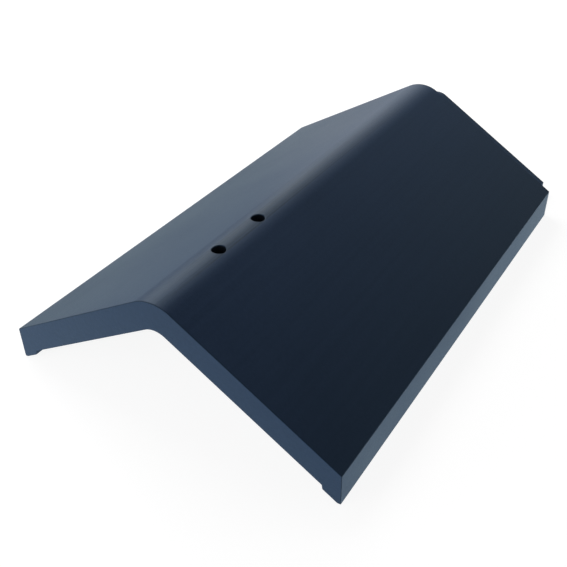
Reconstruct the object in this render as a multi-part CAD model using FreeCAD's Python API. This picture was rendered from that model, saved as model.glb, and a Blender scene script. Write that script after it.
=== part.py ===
import FreeCAD, Part
import math
import os

from FreeCAD import Vector

# Angular concrete ridge tile: two flat wings meeting over a rounded crown, a small rib under
# each eaves edge, two screw holes on the ridge line and a stepped-down lip at the far end that
# the next tile along the ridge covers.
#
# Millimetres. X runs across the ridge, Y along it towards the lip, Z up. The tile stands on its
# two ribs, level, at Z = 0. The origin is the middle of the overall length and width.

# ---- Driving dimensions ------------------------------------------------------------------

cover_length = 400.0  # body along the ridge, square end to square end
tile_width = 268.0  # across both wings
wing_pitch = 30.85  # slope of each wing, degrees from level
wing_thickness = 20.0  # square to the slope
crown_radius = 27.5  # outside of the crown
hollow_radius = 15.0  # inside of the crown

rib_width = 13.0  # across each rib, from the eaves face inwards
rib_depth = 2.75  # below the underside, square to the slope
rib_draft = 0.5  # lean of the rib's inner flank, across the rib
foot_width = 2.5  # level strip along each rib that the tile stands on

lip_length = 41.5  # how far the lip stands out of the far end
lip_hollow_radius = 6.0  # inside of the lip's crown
lip_root_length = 40.0  # how far the lip runs back under the body
lip_root_chamfer = 6.0  # bevel on the inner end of that root
lip_root_bond = 3.0  # how far the root runs up into the wings it is cast with

hole_diameter = 10.0
hole_setback = 70.0  # near end to the first hole
hole_spacing = 47.0

arris_radius = 0.6  # rounding of the outer edges
hole_rim_radius = 0.6

# ---- Clearances --------------------------------------------------------------------------

lip_clearance = 0.5  # lip's top below the level of the underside of the next tile
lip_side_clearance = 2.5  # each end of the lip from the next tile's rib
lip_floor_clearance = 0.8  # the lip's lowest edge above the floor

# ---- Derived places ----------------------------------------------------------------------

pitch = math.radians(wing_pitch)
sine = math.sin(pitch)
cosine = math.cos(pitch)
slope = math.tan(pitch)

half_width = tile_width / 2.0
near_end = -(cover_length + lip_length) / 2.0
far_end = near_end + cover_length
lip_end = far_end + lip_length

rib_inner = half_width - rib_width
underside_inner = rib_inner - rib_draft
lip_half_width = underside_inner - lip_side_clearance
lip_crown_radius = hollow_radius - lip_clearance  # keeps the clearance round the crown as well

# Height where the two top planes would meet, set by the foot strip lying on the floor.
apex_height = (wing_thickness + rib_depth) / cosine + (half_width - foot_width) * slope

# Depths below a wing's top face, square to the slope. The lip is as thick as the floor allows.
rib_bottom = wing_thickness + rib_depth
lip_top = wing_thickness + lip_clearance
lip_bottom = (apex_height - lip_floor_clearance - lip_half_width * slope) * cosine


def plane_height(depth, x):
    """Height, at x, of the plane that lies depth below a wing's top face."""
    return apex_height - depth / cosine - abs(x) * slope


def crown_arc(depth, radius, side):
    """Rounding between the two wing planes at a depth: left tangent, top, right tangent."""
    centre = apex_height - (depth + radius) / cosine
    height = centre + radius * cosine
    ends = [Vector(-radius * sine, 0, height), Vector(radius * sine, 0, height)]
    if side < 0:
        ends.reverse()
    return Part.Arc(ends[0], Vector(0, 0, centre + radius), ends[1]).toShape()


def prism(start, stop, top_arc, right_side, bottom_arc):
    """Solid along Y whose section is two arcs joined down each side by mirrored corners."""
    left_side = [Vector(-p.x, 0, p.z) for p in reversed(right_side)]
    top_left, top_right = top_arc.Vertexes[0].Point, top_arc.Vertexes[-1].Point
    low_right, low_left = bottom_arc.Vertexes[0].Point, bottom_arc.Vertexes[-1].Point
    right = Part.makePolygon([top_right] + right_side + [low_right])
    left = Part.makePolygon([low_left] + left_side + [top_left])
    wire = Part.Wire([top_arc] + right.Edges + [bottom_arc] + left.Edges)
    face = Part.Face(wire)
    face.translate(Vector(0, start, 0))
    return face.extrude(Vector(0, stop - start, 0))


def body():
    """Wings, crown and eaves ribs, from the near end to the far end."""
    corners = [
        Vector(half_width, 0, plane_height(0, half_width)),
        Vector(half_width, 0, 0),
        Vector(half_width - foot_width, 0, 0),
        Vector(rib_inner, 0, plane_height(rib_bottom, rib_inner)),
        Vector(underside_inner, 0, plane_height(wing_thickness, underside_inner)),
    ]
    top = crown_arc(0, crown_radius, 1)
    bottom = crown_arc(wing_thickness, hollow_radius, -1)
    return prism(near_end, far_end, top, corners, bottom)


def lip_section(start, stop, top_depth, top_radius):
    """Length of the lip between two places along Y, its top at a depth below the wing tops."""
    corners = [
        Vector(lip_half_width, 0, plane_height(top_depth, lip_half_width)),
        Vector(lip_half_width, 0, plane_height(lip_bottom, lip_half_width)),
    ]
    top = crown_arc(top_depth, top_radius, 1)
    bottom = crown_arc(lip_bottom, lip_hollow_radius, -1)
    return prism(start, stop, top, corners, bottom)


def bevelled_root():
    """Root of the lip under the body, its inner end bevelled up towards the underside."""
    start = far_end - lip_root_length
    root = lip_section(start, far_end, wing_thickness - lip_root_bond, hollow_radius)
    edges = []
    for edge in root.Edges:
        point = edge.valueAt((edge.FirstParameter + edge.LastParameter) / 2.0)
        at_end = edge.BoundBox.YMax < start + 0.01
        low = point.z < plane_height(lip_bottom - 0.1, point.x)
        if at_end and low:
            edges.append(edge)
    return root.makeChamfer(lip_root_chamfer, edges)


def hole_places():
    """Y of each screw hole."""
    first = near_end + hole_setback
    return [first, first + hole_spacing]


def drilled(shape):
    """The shape with its screw holes, whose rims on the crown are rounded."""
    radius = hole_diameter / 2.0
    for y in hole_places():
        drill = Part.makeCylinder(radius, apex_height, Vector(0, y, 0), Vector(0, 0, 1))
        shape = shape.cut(drill)
    rims = []
    crown_top = apex_height - crown_radius * (1.0 / cosine - 1.0)
    for edge in shape.Edges:
        box = edge.BoundBox
        round_rim = abs(box.XLength - hole_diameter) < 0.01 and abs(box.YLength - hole_diameter) < 0.01
        if round_rim and box.ZMax > crown_top - 0.01:
            rims.append(edge)
    return shape.makeFillet(hole_rim_radius, rims)


def outer_arrises(shape):
    """Edges of the two square ends and of the eaves that a hand meets from outside."""
    found = []
    for edge in shape.Edges:
        box = edge.BoundBox
        middle = edge.valueAt((edge.FirstParameter + edge.LastParameter) / 2.0)
        on_top = abs(middle.z - plane_height(0, middle.x)) < 0.01
        on_crown = middle.z > plane_height(wing_thickness / 2.0, middle.x)
        on_eaves = box.XLength < 0.01 and abs(abs(middle.x) - half_width) < 0.01
        at_end = box.YLength < 0.01
        along_eaves = on_eaves and on_top
        if (at_end and (on_top or on_crown or on_eaves)) or along_eaves:
            found.append(edge)
    return found


def ridge_tile():
    """The whole tile as one cast solid."""
    tile = body()
    tile = tile.makeFillet(arris_radius, outer_arrises(tile))
    tile = drilled(tile)
    tongue = lip_section(far_end - lip_root_bond, lip_end, lip_top, lip_crown_radius)
    tile = tile.fuse([bevelled_root(), tongue])
    tile = tile.removeSplitter()
    return tile.Solids[0] if len(tile.Solids) == 1 else tile


tile = ridge_tile()
os.makedirs("parts", exist_ok=True)
tile.exportStep("parts/ridge_tile.step")
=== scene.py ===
"""The looks of an angular concrete ridge tile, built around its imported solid."""

import logging
import math
from dataclasses import dataclass
from enum import Enum
from typing import Iterable, Sequence, TypeVar

import bmesh
import bpy
from bmesh.types import BMesh
from mathutils import Matrix, Vector

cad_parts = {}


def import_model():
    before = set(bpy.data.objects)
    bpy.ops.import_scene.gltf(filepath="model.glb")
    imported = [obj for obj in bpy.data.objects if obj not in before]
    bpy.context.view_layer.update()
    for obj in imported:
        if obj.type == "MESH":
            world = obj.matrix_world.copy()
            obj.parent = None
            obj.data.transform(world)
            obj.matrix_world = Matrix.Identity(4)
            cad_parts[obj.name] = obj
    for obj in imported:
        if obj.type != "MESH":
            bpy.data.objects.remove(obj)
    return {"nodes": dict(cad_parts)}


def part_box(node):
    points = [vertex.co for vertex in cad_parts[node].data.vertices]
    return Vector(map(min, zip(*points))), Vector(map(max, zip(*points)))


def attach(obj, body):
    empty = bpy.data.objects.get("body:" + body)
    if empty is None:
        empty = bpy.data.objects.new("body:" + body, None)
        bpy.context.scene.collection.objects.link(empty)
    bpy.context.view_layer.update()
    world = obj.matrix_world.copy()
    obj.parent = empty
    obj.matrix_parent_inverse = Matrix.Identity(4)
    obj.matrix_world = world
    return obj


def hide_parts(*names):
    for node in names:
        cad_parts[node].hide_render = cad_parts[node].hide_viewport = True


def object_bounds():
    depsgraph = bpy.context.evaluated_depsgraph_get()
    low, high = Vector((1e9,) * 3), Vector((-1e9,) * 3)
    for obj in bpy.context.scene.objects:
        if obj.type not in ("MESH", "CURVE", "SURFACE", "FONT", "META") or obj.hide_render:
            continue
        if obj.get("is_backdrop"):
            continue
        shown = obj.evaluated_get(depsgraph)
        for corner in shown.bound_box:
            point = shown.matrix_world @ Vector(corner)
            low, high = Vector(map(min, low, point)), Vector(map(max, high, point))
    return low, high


log = logging.getLogger("ridge_tile")

NODE = "ridge_tile"
BODY = "root"
ARRIS_LAYER = "arris"
TOUCH = 1e-6  # metres; points nearer than this are one point
GRID = 1e-7  # metres; the grid that points are rounded to

Colour = tuple[float, float, float, float]
Part = TypeVar("Part")
WHITE: Colour = (1.0, 1.0, 1.0, 1.0)
MIDDLE = 0.5  # the middle of a noise's range

# The display curve: a straight toe, then a power of the shifted channel.
CHANNEL_TOP = 255.0
TOE_END = 0.04045
TOE_SLOPE = 12.92
CURVE_SHIFT = 0.055
CURVE_POWER = 2.4


def srgb(red: int, green: int, blue: int) -> Colour:
    """A display colour as the linear colour a shader socket takes.

    Args:
        red: Red, 0 to 255.
        green: Green, 0 to 255.
        blue: Blue, 0 to 255.

    Returns:
        The linear colour, opaque.
    """
    linear = []
    for channel in (red, green, blue):
        part = channel / CHANNEL_TOP
        low = part / TOE_SLOPE
        high = ((part + CURVE_SHIFT) / (1.0 + CURVE_SHIFT)) ** CURVE_POWER
        linear.append(low if part <= TOE_END else high)
    return linear[0], linear[1], linear[2], 1.0


class Carving(Enum):
    """What a tool shape does to the piece it is put to."""

    CUT_AWAY = "DIFFERENCE"
    JOIN_ON = "UNION"


class Face(Enum):
    """Material slots of the tile, in the order they are added."""

    COATED = 0
    BARE = 1
    # the bores' slot, whose near-black finish is painted shade
    BORE_PAINTED_SHADE = 2


@dataclass(frozen=True)
class TileSizes:
    """Sizes of the tile in metres, as its solid has them.

    The overall length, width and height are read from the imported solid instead.
    """

    cover_length: float = 0.400
    pitch: float = math.radians(30.85)
    wing_thickness: float = 0.020
    crown_radius: float = 0.0275
    hollow_radius: float = 0.015
    rib_width: float = 0.013
    rib_depth: float = 0.00275
    rib_draft: float = 0.0005
    foot_width: float = 0.0025
    lip_hollow_radius: float = 0.006
    lip_root_length: float = 0.040
    lip_root_chamfer: float = 0.006
    lip_root_bond: float = 0.003
    lip_clearance: float = 0.0005
    lip_side_clearance: float = 0.0025
    lip_floor_clearance: float = 0.0008
    hole_radius: float = 0.005
    hole_setback: float = 0.070
    hole_spacing: float = 0.047
    arris_radius: float = 0.0006
    hole_rim_radius: float = 0.0006


@dataclass(frozen=True)
class Rounding:
    """An arc that joins the two sloping planes at a depth below the wing tops."""

    depth: float
    radius: float
    steps: int


@dataclass(frozen=True)
class Run:
    """A length along the ridge line."""

    start: float
    stop: float


@dataclass(frozen=True)
class TileSection:
    """Where the faces of the tile lie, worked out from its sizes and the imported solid's box."""

    sizes: TileSizes
    low: Vector
    high: Vector

    @property
    def half_width(self) -> float:
        """From the ridge line to an eaves face."""
        return self.high.x

    @property
    def near_end(self) -> float:
        """Y of the square end that has the screw holes."""
        return self.low.y

    @property
    def far_end(self) -> float:
        """Y of the square end that has the lip."""
        return self.low.y + self.sizes.cover_length

    @property
    def lip_end(self) -> float:
        """Y of the lip's free edge."""
        return self.high.y

    @property
    def crown_top(self) -> float:
        """Height of the top of the crown."""
        return self.high.z

    @property
    def apex(self) -> float:
        """Height where the two top planes would meet."""
        return self.crown_top + self.sizes.crown_radius * self.apex_share

    @property
    def apex_share(self) -> float:
        """How far a unit-radius rounding leaves the meeting point of the two planes."""
        return 1.0 / math.cos(self.sizes.pitch) - 1.0

    @property
    def rib_inner(self) -> float:
        """X of the inner lower edge of a rib."""
        return self.half_width - self.sizes.rib_width

    @property
    def underside_inner(self) -> float:
        """X where a rib's inner flank meets the underside."""
        return self.rib_inner - self.sizes.rib_draft

    @property
    def lip_half_width(self) -> float:
        """From the ridge line to an end of the lip."""
        return self.underside_inner - self.sizes.lip_side_clearance

    @property
    def lip_crown_radius(self) -> float:
        """Radius of the lip's crown, which clears the next tile's hollow all the way round."""
        return self.sizes.hollow_radius - self.sizes.lip_clearance

    @property
    def lip_top(self) -> float:
        """Depth of the lip's top below the tops of the wings, square to the slope."""
        return self.sizes.wing_thickness + self.sizes.lip_clearance

    @property
    def lip_bottom(self) -> float:
        """Depth of the lip's underside below the tops of the wings, square to the slope."""
        drop = self.apex - self.sizes.lip_floor_clearance - self.lip_half_width * math.tan(self.sizes.pitch)
        return drop * math.cos(self.sizes.pitch)

    def height(self, depth: float, x: float) -> float:
        """Height of a plane that lies parallel to a wing's top.

        Args:
            depth: How far the plane is below the wing's top, square to the slope.
            x: Where across the tile.

        Returns:
            The height in metres.
        """
        return self.apex - depth / math.cos(self.sizes.pitch) - abs(x) * math.tan(self.sizes.pitch)

    def crown_height(self, x: float) -> float:
        """Height of the rounded crown above the floor, at a place across it."""
        radius = self.sizes.crown_radius
        return self.crown_top - radius + math.sqrt(max(radius * radius - x * x, 0.0))

    def arc_centre(self, depth: float, radius: float) -> float:
        """Height of the centre of a rounding between the two planes at a depth below the wing tops."""
        return self.height(depth + radius, 0.0)

    def hole_places(self) -> tuple[float, float]:
        """Y of each screw hole."""
        first = self.near_end + self.sizes.hole_setback
        return first, first + self.sizes.hole_spacing


def settle(bm: BMesh) -> None:
    """Round a mesh's points to the grid and put its parts in one fixed order.

    The operators leave both a little different from run to run, and a carving would follow that.

    Args:
        bm: The mesh.
    """
    for vert in bm.verts:
        vert.co = [round(value / GRID) * GRID for value in vert.co]
    ranks = {vert: rank for rank, vert in enumerate(sorted(bm.verts, key=lambda v: tuple(v.co)))}
    bm.verts.sort(key=ranks.get)
    bm.verts.index_update()
    for parts in (bm.edges, bm.faces):
        ordered = sorted(parts, key=lambda part: sorted(vert.index for vert in part.verts))
        ranks = {part: rank for rank, part in enumerate(ordered)}
        parts.sort(key=ranks.get)
        parts.index_update()


def mesh_object(name: str, bm: BMesh) -> bpy.types.Object:
    """Put a finished bmesh into the scene as an object at the origin.

    Args:
        name: Name of the object and its mesh.
        bm: The mesh, which is freed.

    Returns:
        The new object.
    """
    settle(bm)
    mesh = bpy.data.meshes.new(name)
    bm.to_mesh(mesh)
    bm.free()
    piece = bpy.data.objects.new(name, mesh)
    bpy.context.scene.collection.objects.link(piece)
    return piece


def round_edges(bm: BMesh, edges: Sequence[bmesh.types.BMEdge], reach: float, steps: int) -> None:
    """Round a run of edges into a circular arc.

    Args:
        bm: The mesh.
        edges: The edges to round.
        reach: How far from the edge the rounding starts, along each face.
        steps: How many flats the arc has.
    """
    bmesh.ops.bevel(
        bm,
        geom=list(edges),
        offset=reach,
        offset_type="OFFSET",
        segments=steps,
        profile=0.5,
        affect="EDGES",
        clamp_overlap=False,
        material=-1,
    )


def once_each(items: Iterable[Part]) -> list[Part]:
    """Each item once, in the order they first come, so that a mesh comes out the same each time."""
    return list(dict.fromkeys(items))


def grow(bm: BMesh, faces: Sequence[bmesh.types.BMFace], move: Vector) -> list[bmesh.types.BMFace]:
    """Extrude a patch of faces and leave none of the old ones inside.

    Args:
        bm: The mesh.
        faces: The patch. A patch on its own keeps its first faces as the other end.
        move: Where the new faces go from the old.

    Returns:
        The faces at the new end.
    """
    edges = once_each(e for f in faces for e in f.edges)
    verts = once_each(v for f in faces for v in f.verts)
    made = bmesh.ops.extrude_face_region(bm, geom=list(faces) + edges + verts)["geom"]
    moved = [item for item in made if isinstance(item, bmesh.types.BMVert)]
    bmesh.ops.translate(bm, verts=moved, vec=move)
    return [item for item in made if isinstance(item, bmesh.types.BMFace)]


def carve(piece: bpy.types.Object, tool: bpy.types.Object, carving: Carving) -> None:
    """Cut a tool shape away from a piece or join it on, and remove the tool.

    Args:
        piece: The object that keeps the result in its mesh.
        tool: The object that shapes it.
        carving: What the tool does.
    """
    step = piece.modifiers.new("carving", "BOOLEAN")
    step.object = tool
    step.operation = carving.value
    step.solver = "EXACT"
    graph = bpy.context.evaluated_depsgraph_get()
    result = bpy.data.meshes.new_from_object(piece.evaluated_get(graph))
    piece.modifiers.remove(step)
    old, piece.data = piece.data, result
    result.name = piece.name
    bpy.data.meshes.remove(old)
    used = tool.data
    bpy.data.objects.remove(tool)
    bpy.data.meshes.remove(used)


@dataclass
class TileCasting:
    """The cast tile: wings, crown, ribs, screw holes and lip, as one closed mesh."""

    section: TileSection
    crown_steps: int = 28
    hollow_steps: int = 20
    lip_steps: int = 12
    arris_steps: int = 4
    hole_steps: int = 96
    rim_steps: int = 6
    cutter_margin: float = 0.004
    flare: float = 0.0004
    steep: float = 0.3  # a side's normal rises or falls less than this
    upward: float = 0.5  # a top's normal rises more than this
    sharp_angle: float = math.radians(30.0)

    def build(self) -> bpy.types.Object:
        """Build the whole casting.

        Returns:
            The tile's object, with its arrises marked and its faces sorted into slots.
        """
        tile = mesh_object("tile_casting", self.body())
        carve(tile, mesh_object("lip", self.lip()), Carving.JOIN_ON)
        self.soften(tile)
        for place in self.section.hole_places():
            carve(tile, mesh_object("drill", self.drill(place)), Carving.CUT_AWAY)
        self.tidy(tile)
        self.mark_arrises(tile)
        self.sort_faces(tile)
        return tile

    def bar(self, top: Rounding, corners: Sequence[tuple[float, float]], bottom: Rounding, run: Run) -> BMesh:
        """A bar along the ridge line, whose section is rounded above and below.

        Args:
            top: Its upper rounding.
            corners: Places across and up, down the right side from the upper rounding to the lower one.
            bottom: Its lower rounding.
            run: Where it starts and stops along the ridge line.

        Returns:
            A closed mesh.
        """
        bm = bmesh.new()
        last = self.arc(bm, top, run.start, 0.0, self.section.sizes.pitch)
        for across, up in corners:
            point = bm.verts.new((across, run.start, up))
            bm.edges.new((last, point))
            last = point
        known = set(bm.verts)
        self.arc(bm, bottom, run.start, self.section.sizes.pitch, 0.0)
        tangent = max((v for v in bm.verts if v not in known), key=lambda vert: vert.co.x)
        bm.edges.new((last, tangent))
        bmesh.ops.mirror(bm, geom=bm.verts[:] + bm.edges[:], axis="X", merge_dist=TOUCH)
        end = bmesh.ops.contextual_create(bm, geom=bm.edges[:])["faces"]
        grow(bm, end, Vector((0.0, run.stop - run.start, 0.0)))
        bmesh.ops.recalc_face_normals(bm, faces=bm.faces[:])
        return bm

    def arc(
        self, bm: BMesh, rounding: Rounding, along: float, first: float, final: float
    ) -> bmesh.types.BMVert:
        """Spin a point round the middle of a rounding, on the tile's right side.

        Args:
            bm: The mesh it is added to.
            rounding: The rounding between the two planes.
            along: Y of the section.
            first: Angle from upright where the arc starts.
            final: Angle from upright where it stops.

        Returns:
            The arc's last point.
        """
        centre = Vector((0.0, along, self.section.arc_centre(rounding.depth, rounding.radius)))
        reach = Vector((math.sin(first), 0.0, math.cos(first))) * rounding.radius
        start = bm.verts.new(centre + reach)
        spun = bmesh.ops.spin(
            bm, geom=[start], cent=centre, axis=(0.0, 1.0, 0.0), angle=final - first, steps=rounding.steps
        )
        return next(item for item in spun["geom_last"] if isinstance(item, bmesh.types.BMVert))

    @staticmethod
    def length_of(edge: bmesh.types.BMEdge) -> float:
        """How far an edge runs along the ridge line."""
        return abs(edge.verts[0].co.y - edge.verts[1].co.y)

    def body(self) -> BMesh:
        """Wings, crown and ribs from end to end.

        Returns:
            A closed mesh whose edges are all sharp.
        """
        place, sizes = self.section, self.section.sizes
        rib_bottom = sizes.wing_thickness + sizes.rib_depth
        corners = [
            (place.half_width, place.height(0.0, place.half_width)),
            (place.half_width, 0.0),
            (place.half_width - sizes.foot_width, 0.0),
            (place.rib_inner, place.height(rib_bottom, place.rib_inner)),
            (place.underside_inner, place.height(sizes.wing_thickness, place.underside_inner)),
        ]
        crown = Rounding(0.0, sizes.crown_radius, self.crown_steps)
        hollow = Rounding(sizes.wing_thickness, sizes.hollow_radius, self.hollow_steps)
        return self.bar(crown, corners, hollow, Run(place.near_end, place.far_end))

    def soften(self, tile: bpy.types.Object) -> None:
        """Round the outer arrises of the ends and the eaves.

        Args:
            tile: The tile's object, whose mesh is changed.
        """
        bm = bmesh.new()
        bm.from_mesh(tile.data)
        bmesh.ops.remove_doubles(bm, verts=bm.verts[:], dist=TOUCH)
        settle(bm)
        arrises = [e for e in bm.edges if self.is_arris(e)]
        round_edges(bm, arrises, self.section.sizes.arris_radius, self.arris_steps)
        settle(bm)
        bm.to_mesh(tile.data)
        bm.free()

    def is_arris(self, edge: bmesh.types.BMEdge) -> bool:
        """Whether an edge of the sharp body is an outer arris: an end outline or an eaves edge.

        Args:
            edge: The edge.

        Returns:
            True for an outer arris.
        """
        place = self.section
        ends = [v.co for v in edge.verts]
        on_eaves = all(abs(abs(p.x) - place.half_width) < TOUCH for p in ends)
        on_top = all(p.z > place.height(TOUCH, p.x) or self.on_crown(p) for p in ends)
        across = self.length_of(edge) < TOUCH
        return (across and (on_top or on_eaves)) or (on_eaves and on_top)

    def on_crown(self, point: Vector) -> bool:
        """Whether a point lies on the crown's outer surface."""
        return abs(point.z - self.section.crown_height(point.x)) < self.section.sizes.arris_radius

    def drill(self, place: float) -> BMesh:
        """A cutter for one screw hole, whose flared head follows the crown and rounds the rim.

        Args:
            place: Y of the hole.

        Returns:
            A closed mesh.
        """
        sizes = self.section.sizes
        bore, rim = sizes.hole_radius, sizes.hole_rim_radius
        bm = bmesh.new()
        base = self.section.height(sizes.wing_thickness, 0.0) - sizes.hollow_radius
        foot = Matrix.Translation((0.0, place, base))
        bmesh.ops.create_circle(bm, cap_ends=True, radius=bore, segments=self.hole_steps, matrix=foot)
        top = bm.faces[:]
        rings = [(bore, -rim)]
        for step in range(1, self.rim_steps + 1):
            turn = step / self.rim_steps * math.pi / 2.0
            rings.append((bore + rim * (1.0 - math.cos(turn)), -rim + rim * math.sin(turn)))
        rings.append((bore + rim + self.flare, self.flare))
        rings.append((bore + rim + self.flare, self.cutter_margin))
        radius, height = bore, base
        centre = Matrix.Translation((0.0, -place, 0.0))
        for ring_radius, rise in rings:
            lift = self.section.crown_top + rise - height
            top = grow(bm, top, Vector((0.0, 0.0, lift)))
            spread = ring_radius / radius
            rim_points = once_each(v for f in top for v in f.verts)
            bmesh.ops.scale(bm, verts=rim_points, vec=(spread, spread, 1.0), space=centre)
            radius, height = ring_radius, self.section.crown_top + rise
        limit = base + self.cutter_margin
        for vert in bm.verts:
            if vert.co.z > limit:
                vert.co.z += self.section.crown_height(vert.co.x) - self.section.crown_top
        bmesh.ops.recalc_face_normals(bm, faces=bm.faces[:])
        return bm

    def lip(self) -> BMesh:
        """The lip with its root, one bar that steps up into the wings behind the far end.

        Returns:
            A closed mesh.
        """
        place, sizes = self.section, self.section.sizes
        edge = place.lip_half_width
        root_top = sizes.wing_thickness - sizes.lip_root_bond
        corners = [
            (edge, place.height(place.lip_top, edge)),
            (edge, place.height(place.lip_bottom, edge)),
        ]
        crown = Rounding(place.lip_top, place.lip_crown_radius, self.lip_steps)
        hollow = Rounding(place.lip_bottom, sizes.lip_hollow_radius, self.lip_steps)
        bm = self.bar(crown, corners, hollow, Run(place.far_end - sizes.lip_root_length, place.lip_end))
        cut = bm.verts[:] + bm.edges[:] + bm.faces[:]
        far_face, along = (0.0, place.far_end, 0.0), (0.0, 1.0, 0.0)
        bmesh.ops.bisect_plane(bm, geom=cut, dist=TOUCH, plane_co=far_face, plane_no=along)
        upper = [f for f in bm.faces if f.normal.z > self.upward and f.calc_center_median().y < place.far_end]
        rise = (place.lip_top - root_top) / math.cos(sizes.pitch)
        grow(bm, upper, Vector((0.0, 0.0, rise)))
        inner = place.far_end - sizes.lip_root_length
        middle = (place.lip_top + place.lip_bottom) / 2.0
        low_end = []
        for candidate in bm.edges:
            ends = [v.co for v in candidate.verts]
            at_end = all(abs(p.y - inner) < TOUCH for p in ends)
            low = all(p.z < place.height(middle, p.x) for p in ends)
            if at_end and low:
                low_end.append(candidate)
        round_edges(bm, low_end, sizes.lip_root_chamfer, 1)
        bmesh.ops.recalc_face_normals(bm, faces=bm.faces[:])
        return bm

    def tidy(self, tile: bpy.types.Object) -> None:
        """Merge doubled points, then set smooth shading with sharp edges kept.

        Args:
            tile: The tile's object, whose mesh is changed.
        """
        bm = bmesh.new()
        bm.from_mesh(tile.data)
        bmesh.ops.remove_doubles(bm, verts=bm.verts[:], dist=TOUCH)
        bmesh.ops.dissolve_degenerate(bm, dist=TOUCH, edges=bm.edges[:])
        bmesh.ops.recalc_face_normals(bm, faces=bm.faces[:])
        settle(bm)
        bm.to_mesh(tile.data)
        bm.free()
        tile.data.shade_smooth()
        tile.data.set_sharp_from_angle(angle=self.sharp_angle)
        flats = tile.modifiers.new("flat_faces", "WEIGHTED_NORMAL")
        flats.keep_sharp = True

    def mark_arrises(self, tile: bpy.types.Object) -> None:
        """Store, at each point, whether it lies on the curve of a rounded arris or rim.

        Args:
            tile: The tile's object, whose mesh gets the marks.
        """
        marks = tile.data.attributes.new(ARRIS_LAYER, "FLOAT", "POINT")
        for vert, mark in zip(tile.data.vertices, marks.data):
            mark.value = 1.0 if self.on_rounding(vert.co) else 0.0

    def on_rounding(self, point: Vector) -> bool:
        """Whether a point is strictly inside the rounding of an outer arris or a hole's rim.

        Args:
            point: The point.

        Returns:
            True for a point inside one.
        """
        place, sizes = self.section, self.section.sizes
        from_end = min(point.y - place.near_end, place.far_end - point.y)
        outside = point.z > place.height(sizes.wing_thickness / 2.0, point.x)
        at_end = TOUCH < from_end < sizes.arris_radius - TOUCH
        top_corner = place.height(0.0, place.half_width)
        from_eaves = place.half_width - abs(point.x)
        at_eaves = TOUCH < from_eaves < sizes.arris_radius and abs(point.z - top_corner) < sizes.arris_radius
        at_corner = at_end and TOUCH < from_eaves < sizes.arris_radius - TOUCH
        if (at_end and outside) or at_eaves or at_corner:
            return True
        for y in place.hole_places():
            reach = math.hypot(point.x, point.y - y) - sizes.hole_radius
            if TOUCH < reach < sizes.hole_rim_radius - TOUCH and outside:
                return True
        return False

    def sort_faces(self, tile: bpy.types.Object) -> None:
        """Give each face its slot: bores, whose near-black finish is painted shade, faces that look down, and
        the coated rest.

        Args:
            tile: The tile's object, whose faces are sorted.
        """
        place, sizes = self.section, self.section.sizes
        for face in tile.data.polygons:
            reach = min(math.hypot(face.center.x, face.center.y - y) for y in place.hole_places())
            bore = reach < sizes.hole_radius + TOUCH and abs(face.normal.z) < self.steep
            down = Face.BARE if face.normal.z < -self.steep else Face.COATED
            face.material_index = (Face.BORE_PAINTED_SHADE if bore else down).value


@dataclass(frozen=True)
class Noise:
    """How coarse and how rough a noise is. Its scale is in swings a metre."""

    scale: float
    detail: float
    roughness: float


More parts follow.
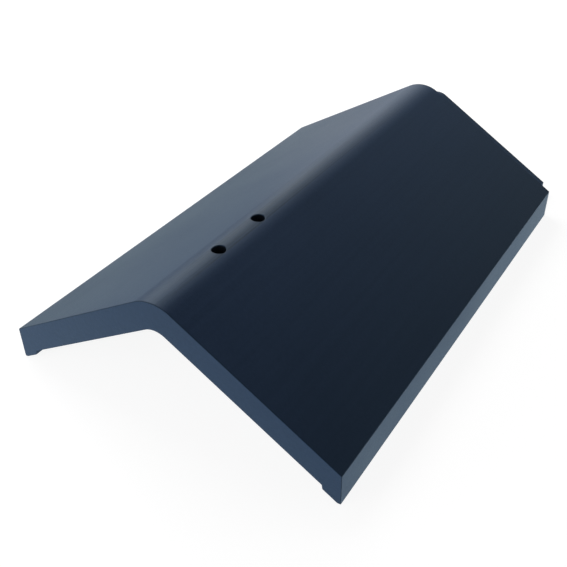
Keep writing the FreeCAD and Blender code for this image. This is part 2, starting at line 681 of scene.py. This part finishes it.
@dataclass(frozen=True)
class ReliefGroup:
    """A shader group with the relief and the unevenness of a cast and coated surface."""

    name: str = "cast_relief"
    cloud: Noise = Noise(scale=9.0, detail=4.0, roughness=0.55)
    fleck: Noise = Noise(scale=420.0, detail=3.0, roughness=0.6)
    grain: Noise = Noise(scale=900.0, detail=2.0, roughness=0.5)
    draw: Noise = Noise(scale=1.0, detail=3.0, roughness=0.5)
    draw_scale: tuple[float, float, float] = (260.0, 4.0, 260.0)

    def build(self) -> bpy.types.ShaderNodeTree:
        """Make the group once.

        Returns:
            The group, with Cloud Amount, Fleck Amount and Draw Amount in, and Shade, Gloss and Height out.
        """
        made = bpy.data.node_groups.get(self.name)
        if made:
            return made
        tree = bpy.data.node_groups.new(self.name, "ShaderNodeTree")
        face = tree.interface
        for label in ("Cloud Amount", "Fleck Amount", "Draw Amount"):
            face.new_socket(label, in_out="INPUT", socket_type="NodeSocketFloat")
        for label in ("Shade", "Gloss", "Height"):
            face.new_socket(label, in_out="OUTPUT", socket_type="NodeSocketFloat")
        nodes, links = tree.nodes, tree.links
        given = nodes.new("NodeGroupInput")
        result = nodes.new("NodeGroupOutput")
        place = nodes.new("ShaderNodeTexCoord").outputs["Object"]
        cloud = self.noise(tree, place, self.cloud)
        fleck = self.noise(tree, place, self.fleck)
        grain = self.noise(tree, place, self.grain)
        stretch = nodes.new("ShaderNodeMapping")
        stretch.inputs["Scale"].default_value = self.draw_scale
        links.new(place, stretch.inputs["Vector"])
        draw = self.noise(tree, stretch.outputs["Vector"], self.draw)
        shade = self.sum_of(
            tree,
            [
                self.swing(tree, cloud, given.outputs["Cloud Amount"]),
                self.swing(tree, fleck, given.outputs["Fleck Amount"]),
                self.swing(tree, draw, given.outputs["Draw Amount"]),
            ],
        )
        links.new(shade, result.inputs["Shade"])
        gloss = self.sum_of(
            tree,
            [
                self.swing(tree, cloud, given.outputs["Cloud Amount"]),
                self.swing(tree, grain, given.outputs["Fleck Amount"]),
            ],
        )
        links.new(gloss, result.inputs["Gloss"])
        height = self.sum_of(
            tree,
            [
                self.swing(tree, grain, given.outputs["Fleck Amount"]),
                self.swing(tree, fleck, given.outputs["Fleck Amount"]),
                self.swing(tree, draw, given.outputs["Draw Amount"]),
            ],
        )
        links.new(height, result.inputs["Height"])
        return tree

    @staticmethod
    def noise(tree: bpy.types.NodeTree, place: bpy.types.NodeSocket, noise: Noise) -> bpy.types.NodeSocket:
        """A noise over the object.

        Args:
            tree: The node tree.
            place: The socket with the coordinates it reads.
            noise: How coarse and rough it is.

        Returns:
            The socket with the noise, 0 to 1 about its middle.
        """
        node = tree.nodes.new("ShaderNodeTexNoise")
        node.inputs["Scale"].default_value = noise.scale
        node.inputs["Detail"].default_value = noise.detail
        node.inputs["Roughness"].default_value = noise.roughness
        tree.links.new(place, node.inputs["Vector"])
        return node.outputs["Fac"]

    @staticmethod
    def swing(
        tree: bpy.types.NodeTree, value: bpy.types.NodeSocket, amount: bpy.types.NodeSocket
    ) -> bpy.types.NodeSocket:
        """A value turned into a swing about nothing, times an amount.

        Args:
            tree: The node tree.
            value: The socket with the value, 0 to 1 about its middle.
            amount: The socket with the amount.

        Returns:
            The socket with the swing.
        """
        centre = tree.nodes.new("ShaderNodeMath")
        centre.operation = "SUBTRACT"
        centre.inputs[1].default_value = MIDDLE
        tree.links.new(value, centre.inputs[0])
        scaled = tree.nodes.new("ShaderNodeMath")
        scaled.operation = "MULTIPLY"
        tree.links.new(centre.outputs[0], scaled.inputs[0])
        tree.links.new(amount, scaled.inputs[1])
        return scaled.outputs[0]

    @staticmethod
    def sum_of(tree: bpy.types.NodeTree, values: Sequence[bpy.types.NodeSocket]) -> bpy.types.NodeSocket:
        """The sum of several sockets.

        Args:
            tree: The node tree.
            values: The sockets to add.

        Returns:
            The socket with the sum.
        """
        total = values[0]
        for value in values[1:]:
            add = tree.nodes.new("ShaderNodeMath")
            add.operation = "ADD"
            tree.links.new(total, add.inputs[0])
            tree.links.new(value, add.inputs[1])
            total = add.outputs[0]
        return total


@dataclass(frozen=True)
class ConcreteFinish:
    """A pigmented concrete surface, coated or bare, or a bore wall painted near black as painted shade."""

    name: str
    deep: Colour
    pale: Colour
    # Colour and share blended in on the rounded arrises. On the coated finish the colour is darker: painted
    # shade standing in for the dark surroundings that the rounded arrises reflect. On the bare and bore
    # finishes it is paler, for rubbed edges.
    edge_wear_and_shade: Colour
    edge_wear_and_shade_share: float
    roughness: float
    gloss_swing: float
    specular: float
    specular_tint: Colour
    cloud: float
    fleck: float
    draw: float
    bump: float
    bump_distance: float = 0.0004

    def build(self) -> bpy.types.Material:
        """Make the material.

        Returns:
            The material, whose nodes drive colour, roughness and normal.
        """
        material = bpy.data.materials.new(self.name)
        material.use_nodes = True
        tree = material.node_tree
        nodes, links = tree.nodes, tree.links
        shader = nodes["Principled BSDF"]
        shader.inputs["Specular IOR Level"].default_value = self.specular
        shader.inputs["Specular Tint"].default_value = self.specular_tint
        relief = nodes.new("ShaderNodeGroup")
        relief.node_tree = ReliefGroup().build()
        relief.inputs["Cloud Amount"].default_value = self.cloud
        relief.inputs["Fleck Amount"].default_value = self.fleck
        relief.inputs["Draw Amount"].default_value = self.draw
        tone = nodes.new("ShaderNodeMapRange")
        tone.inputs["From Min"].default_value = -MIDDLE
        tone.inputs["From Max"].default_value = MIDDLE
        links.new(relief.outputs["Shade"], tone.inputs["Value"])
        coat = self.blend(tree, tone.outputs["Result"], self.deep, self.pale)
        # The arris mask blends in the edge colour: painted shade on the coated finish, paler wear on the bare
        # and bore finishes.
        arris = nodes.new("ShaderNodeAttribute")
        arris.attribute_name = ARRIS_LAYER
        edge_wear_and_shade_share = nodes.new("ShaderNodeMath")
        edge_wear_and_shade_share.operation = "MULTIPLY"
        edge_wear_and_shade_share.inputs[1].default_value = self.edge_wear_and_shade_share
        links.new(arris.outputs["Fac"], edge_wear_and_shade_share.inputs[0])
        colour = self.blend(tree, edge_wear_and_shade_share.outputs[0], coat, self.edge_wear_and_shade)
        links.new(colour, shader.inputs["Base Color"])
        rough = nodes.new("ShaderNodeMapRange")
        rough.inputs["From Min"].default_value = -MIDDLE
        rough.inputs["From Max"].default_value = MIDDLE
        rough.inputs["To Min"].default_value = self.roughness - self.gloss_swing
        rough.inputs["To Max"].default_value = self.roughness + self.gloss_swing
        links.new(relief.outputs["Gloss"], rough.inputs["Value"])
        links.new(rough.outputs["Result"], shader.inputs["Roughness"])
        bump = nodes.new("ShaderNodeBump")
        bump.inputs["Strength"].default_value = self.bump
        bump.inputs["Distance"].default_value = self.bump_distance
        links.new(relief.outputs["Height"], bump.inputs["Height"])
        links.new(bump.outputs["Normal"], shader.inputs["Normal"])
        return material

    @staticmethod
    def blend(
        tree: bpy.types.NodeTree,
        amount: bpy.types.NodeSocket,
        first: Colour | bpy.types.NodeSocket,
        second: Colour | bpy.types.NodeSocket,
    ) -> bpy.types.NodeSocket:
        """A colour between two.

        Args:
            tree: The node tree.
            amount: The socket that goes from 0, the first colour, to 1, the second.
            first: A colour, or a socket that has one.
            second: A colour, or a socket that has one.

        Returns:
            The socket with the colour.
        """
        mix = tree.nodes.new("ShaderNodeMix")
        mix.data_type = "RGBA"
        sockets = [s for s in mix.inputs if s.type == "RGBA"]
        for socket, colour in zip(sockets, (first, second)):
            if isinstance(colour, bpy.types.NodeSocket):
                tree.links.new(colour, socket)
            else:
                socket.default_value = colour
        tree.links.new(amount, mix.inputs["Factor"])
        return [s for s in mix.outputs if s.type == "RGBA"][0]


COATED = ConcreteFinish(
    name="coated_concrete",
    deep=srgb(31, 46, 71),
    pale=srgb(45, 62, 90),
    # Darker than the coat: painted shade along the rounded arrises, not wear.
    edge_wear_and_shade=srgb(20, 30, 44),
    edge_wear_and_shade_share=0.6,
    roughness=0.5,
    gloss_swing=0.08,
    specular=0.28,
    specular_tint=(0.55, 0.82, 1.0, 1.0),
    cloud=0.9,
    fleck=0.5,
    draw=0.5,
    bump=0.3,
)
BARE = ConcreteFinish(
    name="bare_concrete",
    deep=srgb(30, 44, 60),
    pale=srgb(58, 72, 88),
    edge_wear_and_shade=srgb(74, 86, 98),
    edge_wear_and_shade_share=0.3,
    roughness=0.7,
    gloss_swing=0.12,
    specular=0.2,
    specular_tint=(0.8, 0.92, 1.0, 1.0),
    cloud=0.6,
    fleck=0.7,
    draw=0.5,
    bump=0.4,
)
# The bore walls are painted near black: painted shade standing in for the shade inside the screw holes.
BORE_PAINTED_SHADE = ConcreteFinish(
    name="bore_painted_shade",
    deep=srgb(10, 14, 22),
    pale=srgb(18, 24, 34),
    edge_wear_and_shade=srgb(24, 30, 40),
    edge_wear_and_shade_share=0.3,
    roughness=0.8,
    gloss_swing=0.08,
    specular=0.1,
    specular_tint=(0.8, 0.92, 1.0, 1.0),
    cloud=0.5,
    fleck=0.5,
    draw=0.3,
    bump=0.3,
)


@dataclass(frozen=True)
class StudioFloor:
    """A pale floor that the camera sees as white, with the tile's soft shadow on it.

    Reflections show it as a cool white that fades away from the tile.
    """

    half_side: float = 4.0
    albedo: float = 0.8
    seen_glow: float = 0.9
    seen_albedo: float = 0.2
    mirrored_glow: float = 1.5
    mirrored_far_glow: float = 0.45
    mirrored_tint: Colour = (0.7, 0.88, 1.0, 1.0)
    fade_start: float = 0.35
    fade_end: float = 0.75

    def build(self) -> bpy.types.Object:
        """Build and dress the floor.

        Returns:
            The floor's object.
        """
        bm = bmesh.new()
        bmesh.ops.create_grid(bm, x_segments=2, y_segments=2, size=self.half_side)
        floor = mesh_object("studio_floor", bm)
        floor.data.materials.append(self.finish())
        floor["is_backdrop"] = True
        return floor

    def finish(self) -> bpy.types.Material:
        """A diffuse floor, with a glow that only the camera and reflections see.

        Returns:
            The material.
        """
        material = bpy.data.materials.new("studio_floor")
        material.use_nodes = True
        tree = material.node_tree
        nodes, links = tree.nodes, tree.links
        nodes.clear()
        out = nodes.new("ShaderNodeOutputMaterial")
        lit = self.diffuse(tree, self.albedo)
        seen = self.diffuse(tree, self.seen_albedo)
        glow = nodes.new("ShaderNodeEmission")
        glow.inputs["Strength"].default_value = self.seen_glow
        both = nodes.new("ShaderNodeAddShader")
        links.new(seen.outputs[0], both.inputs[0])
        links.new(glow.outputs[0], both.inputs[1])
        mirrored = nodes.new("ShaderNodeEmission")
        mirrored.inputs["Color"].default_value = self.mirrored_tint
        links.new(self.fade(tree), mirrored.inputs["Strength"])
        path = nodes.new("ShaderNodeLightPath")
        looked_at = nodes.new("ShaderNodeMixShader")
        links.new(path.outputs["Is Camera Ray"], looked_at.inputs[0])
        links.new(lit.outputs[0], looked_at.inputs[1])
        links.new(both.outputs[0], looked_at.inputs[2])
        reflected = nodes.new("ShaderNodeMixShader")
        links.new(path.outputs["Is Glossy Ray"], reflected.inputs[0])
        links.new(looked_at.outputs[0], reflected.inputs[1])
        links.new(mirrored.outputs[0], reflected.inputs[2])
        links.new(reflected.outputs[0], out.inputs["Surface"])
        return material

    @staticmethod
    def diffuse(tree: bpy.types.NodeTree, albedo: float) -> bpy.types.Node:
        """A plain grey diffuse shader.

        Args:
            tree: The node tree.
            albedo: The share of light it sends back.

        Returns:
            The shader's node.
        """
        shader = tree.nodes.new("ShaderNodeBsdfDiffuse")
        shader.inputs["Color"].default_value = (albedo, albedo, albedo, 1.0)
        return shader

    def fade(self, tree: bpy.types.NodeTree) -> bpy.types.NodeSocket:
        """The strength of the glow in reflections, by how far a place is from the tile.

        Args:
            tree: The node tree.

        Returns:
            The socket with the strength.
        """
        place = tree.nodes.new("ShaderNodeTexCoord")
        reach = tree.nodes.new("ShaderNodeVectorMath")
        reach.operation = "LENGTH"
        tree.links.new(place.outputs["Object"], reach.inputs[0])
        fade = tree.nodes.new("ShaderNodeMapRange")
        fade.interpolation_type = "SMOOTHSTEP"
        fade.inputs["From Min"].default_value = self.fade_start
        fade.inputs["From Max"].default_value = self.fade_end
        fade.inputs["To Min"].default_value = self.mirrored_glow
        fade.inputs["To Max"].default_value = self.mirrored_far_glow
        tree.links.new(reach.outputs["Value"], fade.inputs["Value"])
        return fade.outputs["Result"]


@dataclass(frozen=True)
class StudioSky:
    """The room around the tile: white to the camera, with a bright band above the horizon.

    The stops are heights, as the sine of the elevation, with the room's strength there.
    """

    stops: tuple[tuple[float, float], ...] = (
        (0.0, 0.02),
        (0.2, 0.02),
        (0.28, 1.1),
        (0.46, 1.1),
        (0.58, 0.05),
    )
    room_tint: Colour = (0.8, 0.8, 0.8, 1.0)
    mirrored_tint: Colour = (0.7, 0.88, 1.0, 1.0)

    def build(self) -> bpy.types.World:
        """Make the world and use it.

        Returns:
            The world.
        """
        world = bpy.data.worlds.new("studio")
        bpy.context.scene.world = world
        world.use_nodes = True
        tree = world.node_tree
        nodes, links = tree.nodes, tree.links
        nodes.clear()
        out = nodes.new("ShaderNodeOutputWorld")
        seen = nodes.new("ShaderNodeBackground")
        seen.inputs["Color"].default_value = WHITE
        room = nodes.new("ShaderNodeBackground")
        room.inputs["Color"].default_value = self.room_tint
        mirrored = nodes.new("ShaderNodeBackground")
        mirrored.inputs["Color"].default_value = self.mirrored_tint
        strength = self.glow(tree)
        for shader in (room, mirrored):
            links.new(strength, shader.inputs["Strength"])
        path = nodes.new("ShaderNodeLightPath")
        reflected = nodes.new("ShaderNodeMixShader")
        links.new(path.outputs["Is Glossy Ray"], reflected.inputs[0])
        links.new(room.outputs[0], reflected.inputs[1])
        links.new(mirrored.outputs[0], reflected.inputs[2])
        choose = nodes.new("ShaderNodeMixShader")
        links.new(path.outputs["Is Camera Ray"], choose.inputs[0])
        links.new(reflected.outputs[0], choose.inputs[1])
        links.new(seen.outputs[0], choose.inputs[2])
        links.new(choose.outputs[0], out.inputs["Surface"])
        return world

    def glow(self, tree: bpy.types.NodeTree) -> bpy.types.NodeSocket:
        """The room's strength, by height above the horizon.

        Args:
            tree: The node tree.

        Returns:
            The socket with the strength.
        """
        place = tree.nodes.new("ShaderNodeTexCoord")
        split = tree.nodes.new("ShaderNodeSeparateXYZ")
        tree.links.new(place.outputs["Generated"], split.inputs[0])
        ramp = tree.nodes.new("ShaderNodeValToRGB")
        ramp.color_ramp.interpolation = "EASE"
        marks = ramp.color_ramp.elements
        while len(marks) < len(self.stops):
            marks.new(1.0)
        for mark, (height, strength) in zip(marks, self.stops):
            mark.position = height
            mark.color = (strength, strength, strength, 1.0)
        tree.links.new(split.outputs["Z"], ramp.inputs["Fac"])
        return ramp.outputs["Color"]


@dataclass(frozen=True)
class SoftLamp:
    """A square soft lamp that points at the tile."""

    name: str
    azimuth: float
    elevation: float
    distance: float
    side: float
    power: float

    def build(self, target: Vector) -> bpy.types.Object:
        """Hang the lamp.

        Args:
            target: The point it lights.

        Returns:
            The lamp's object.
        """
        lamp = bpy.data.lights.new(self.name, "AREA")
        lamp.shape = "SQUARE"
        lamp.size = self.side
        lamp.energy = self.power
        holder = bpy.data.objects.new(self.name, lamp)
        back = direction(self.azimuth, self.elevation)
        holder.location = target + back * self.distance
        holder.rotation_euler = (-back).to_track_quat("-Z", "Y").to_euler()
        bpy.context.scene.collection.objects.link(holder)
        return holder


def direction(azimuth: float, elevation: float) -> Vector:
    """A unit vector out from the tile.

    Args:
        azimuth: Degrees round from -Y towards +X.
        elevation: Degrees above the horizon.

    Returns:
        The vector.
    """
    turn, lift = math.radians(azimuth), math.radians(elevation)
    return Vector((math.sin(turn) * math.cos(lift), -math.cos(turn) * math.cos(lift), math.sin(lift)))


@dataclass(frozen=True)
class StudioCamera:
    """The camera, by the point it looks at and where it stands from there."""

    azimuth: float = 31.557
    elevation: float = 36.714
    roll: float = -0.195
    distance: float = 0.62092
    aim: tuple[float, float, float] = (0.016144, -0.082940, 0.022656)
    lens: float = 51.327
    sensor: float = 36.0
    shift_across: float = -0.01734
    shift_up: float = 0.02665
    clip_start: float = 0.01
    clip_end: float = 50.0

    def build(self) -> bpy.types.Object:
        """Place the camera and make it the scene's own.

        Returns:
            The camera's object.
        """
        data = bpy.data.cameras.new("studio_camera")
        data.lens = self.lens
        data.sensor_width = self.sensor
        data.shift_x, data.shift_y = self.shift_across, self.shift_up
        data.clip_start, data.clip_end = self.clip_start, self.clip_end
        camera = bpy.data.objects.new("studio_camera", data)
        back = direction(self.azimuth, self.elevation)
        camera.location = Vector(self.aim) + back * self.distance
        turned = (-back).to_track_quat("-Z", "Y").to_matrix().to_4x4()
        camera.rotation_euler = (turned @ Matrix.Rotation(math.radians(self.roll), 4, "Z")).to_euler()
        bpy.context.scene.collection.objects.link(camera)
        bpy.context.scene.camera = camera
        return camera


LAMPS = (
    SoftLamp("key_lamp", azimuth=-110.0, elevation=40.0, distance=1.6, side=1.2, power=15.2),
    SoftLamp("back_lamp", azimuth=-150.0, elevation=15.0, distance=0.8, side=0.5, power=0.94),
    SoftLamp("front_lamp", azimuth=-20.0, elevation=10.0, distance=0.7, side=0.4, power=1.02),
    SoftLamp("near_lamp", azimuth=-50.0, elevation=12.0, distance=0.75, side=0.5, power=0.36),
    SoftLamp("top_lamp", azimuth=-130.0, elevation=45.0, distance=0.8, side=0.5, power=0.79),
)


def corners(pair: tuple[Vector, Vector]) -> list[list[float]]:
    """A box's two corners as plain lists of numbers."""
    return [[float(value) for value in corner] for corner in pair]


def build_scene() -> None:
    """Load the solid, build and dress the tile, and set up the studio round it."""
    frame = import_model()
    solid_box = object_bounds()
    log.info("loaded %s", ", ".join(frame["nodes"]))
    low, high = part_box(NODE)
    section = TileSection(TileSizes(), Vector(low), Vector(high))
    tile = TileCasting(section).build()
    for finish in (COATED, BARE, BORE_PAINTED_SHADE):
        tile.data.materials.append(finish.build())
    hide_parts(NODE)
    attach(tile, BODY)
    log.info("%s: %d faces", tile.name, len(tile.data.polygons))
    floor = StudioFloor().build()
    log.info("%s laid", floor.name)
    StudioSky().build()
    middle = (section.low + section.high) / 2.0
    for lamp in LAMPS:
        log.info("%s hung", lamp.build(middle).name)
    log.info("%s placed", StudioCamera().build().name)
    bpy.context.scene.view_settings.view_transform = "Standard"
    {"cad": corners(solid_box), "visual": corners(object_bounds())}


if __name__ == "__main__":
    logging.basicConfig(level=logging.INFO, format="%(message)s")
    build_scene()
